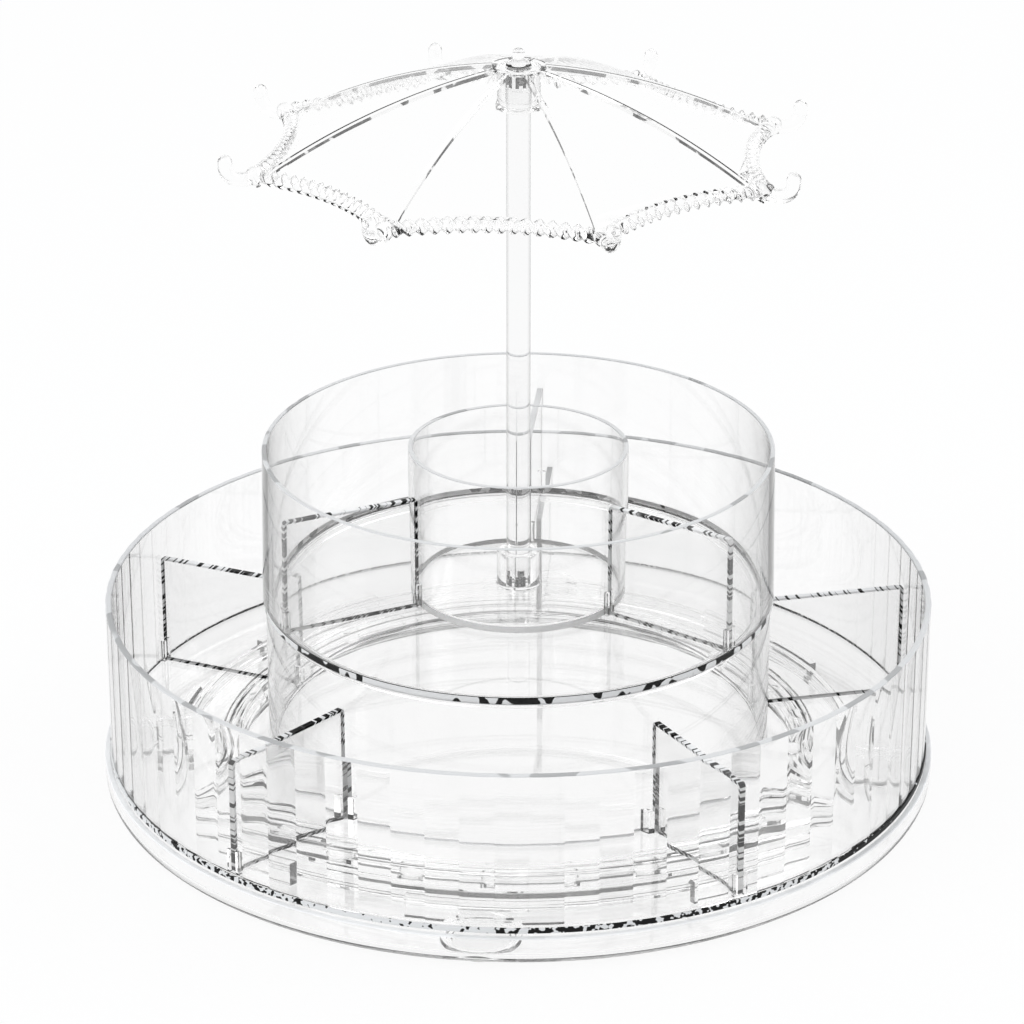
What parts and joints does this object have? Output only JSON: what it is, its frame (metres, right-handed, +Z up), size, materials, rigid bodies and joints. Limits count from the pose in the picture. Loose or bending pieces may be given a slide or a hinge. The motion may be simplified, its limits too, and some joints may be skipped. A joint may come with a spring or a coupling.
{
  "type": "rotating makeup organizer",
  "caption": "Clear round makeup organizer: a fluted tray turns on a low ball-bearing base and carries a smaller cup, lift-out dividers and a pole with an umbrella-shaped canopy of hooks",
  "frame": {"origin": "middle of the footprint, at the bottom of the feet", "axes": "+Z is up along the axis of rotation, +X is to the right, and the front is at -Y"},
  "size_m": [0.2846, 0.2846, 0.258],
  "materials": {
    "clear_plastic": "clear polished moulded plastic",
    "clear_rod": "clear polished rod",
    "foot_pads": "soft translucent silicone"
  },
  "bodies": {
    "base": {"base_plate": "clear_plastic", "base_feet": "foot_pads"},
    "bearing": {"bearing_cage": "clear_plastic", "bearing_balls": "clear_plastic"},
    "tray": {"tray_floor": "clear_plastic", "tray_wall": "clear_plastic", "drum": "clear_plastic"},
    "lower_divider_1": {"lower_divider_1": "clear_plastic"},
    "lower_divider_2": {"lower_divider_2": "clear_plastic"},
    "lower_divider_3": {"lower_divider_3": "clear_plastic"},
    "lower_divider_4": {"lower_divider_4": "clear_plastic"},
    "lower_divider_5": {"lower_divider_5": "clear_plastic"},
    "upper_cup": {"upper_cup": "clear_plastic"},
    "upper_divider_1": {"upper_divider_1": "clear_plastic"},
    "upper_divider_2": {"upper_divider_2": "clear_plastic"},
    "upper_divider_3": {"upper_divider_3": "clear_plastic"},
    "centre_cup": {"centre_cup": "clear_plastic"},
    "pole": {"pole": "clear_rod"},
    "umbrella": {"canopy": "clear_plastic", "canopy_edge": "clear_plastic", "hooks": "clear_plastic", "umbrella_socket": "clear_plastic", "finial": "clear_plastic"}
  },
  "joints": [
    {"name": "tray_spin", "type": "hinge", "parent": "base", "child": "tray", "pos_m": [0, 0, 0.0122], "axis": [0, 0, 1], "continuous": true},
    {"name": "bearing_spin", "type": "hinge", "parent": "base", "child": "bearing", "pos_m": [0, 0, 0.0077], "axis": [0, 0, 1], "continuous": true},
    {"name": "lower_divider_1_lift", "type": "slide", "parent": "tray", "child": "lower_divider_1", "axis": [0, 0, 1], "range_m": [0, 0.06]},
    {"name": "lower_divider_2_lift", "type": "slide", "parent": "tray", "child": "lower_divider_2", "axis": [0, 0, 1], "range_m": [0, 0.06]},
    {"name": "lower_divider_3_lift", "type": "slide", "parent": "tray", "child": "lower_divider_3", "axis": [0, 0, 1], "range_m": [0, 0.06]},
    {"name": "lower_divider_4_lift", "type": "slide", "parent": "tray", "child": "lower_divider_4", "axis": [0, 0, 1], "range_m": [0, 0.06]},
    {"name": "lower_divider_5_lift", "type": "slide", "parent": "tray", "child": "lower_divider_5", "axis": [0, 0, 1], "range_m": [0, 0.06]},
    {"name": "upper_cup_lift", "type": "slide", "parent": "tray", "child": "upper_cup", "axis": [0, 0, 1], "range_m": [0, 0.06]},
    {"name": "upper_divider_1_lift", "type": "slide", "parent": "upper_cup", "child": "upper_divider_1", "axis": [0, 0, 1], "range_m": [0, 0.06]},
    {"name": "upper_divider_2_lift", "type": "slide", "parent": "upper_cup", "child": "upper_divider_2", "axis": [0, 0, 1], "range_m": [0, 0.06]},
    {"name": "upper_divider_3_lift", "type": "slide", "parent": "upper_cup", "child": "upper_divider_3", "axis": [0, 0, 1], "range_m": [0, 0.06]},
    {"name": "centre_cup_lift", "type": "slide", "parent": "upper_cup", "child": "centre_cup", "axis": [0, 0, 1], "range_m": [0, 0.06]},
    {"name": "pole_lift", "type": "slide", "parent": "centre_cup", "child": "pole", "axis": [0, 0, 1], "range_m": [0, 0.02]},
    {"name": "umbrella_lift", "type": "slide", "parent": "pole", "child": "umbrella", "axis": [0, 0, 1], "range_m": [0, 0.02]}
  ],
  "couplings": [
    {"joint": "bearing_spin", "follows": "tray_spin", "ratio": 0.5}
  ]
}
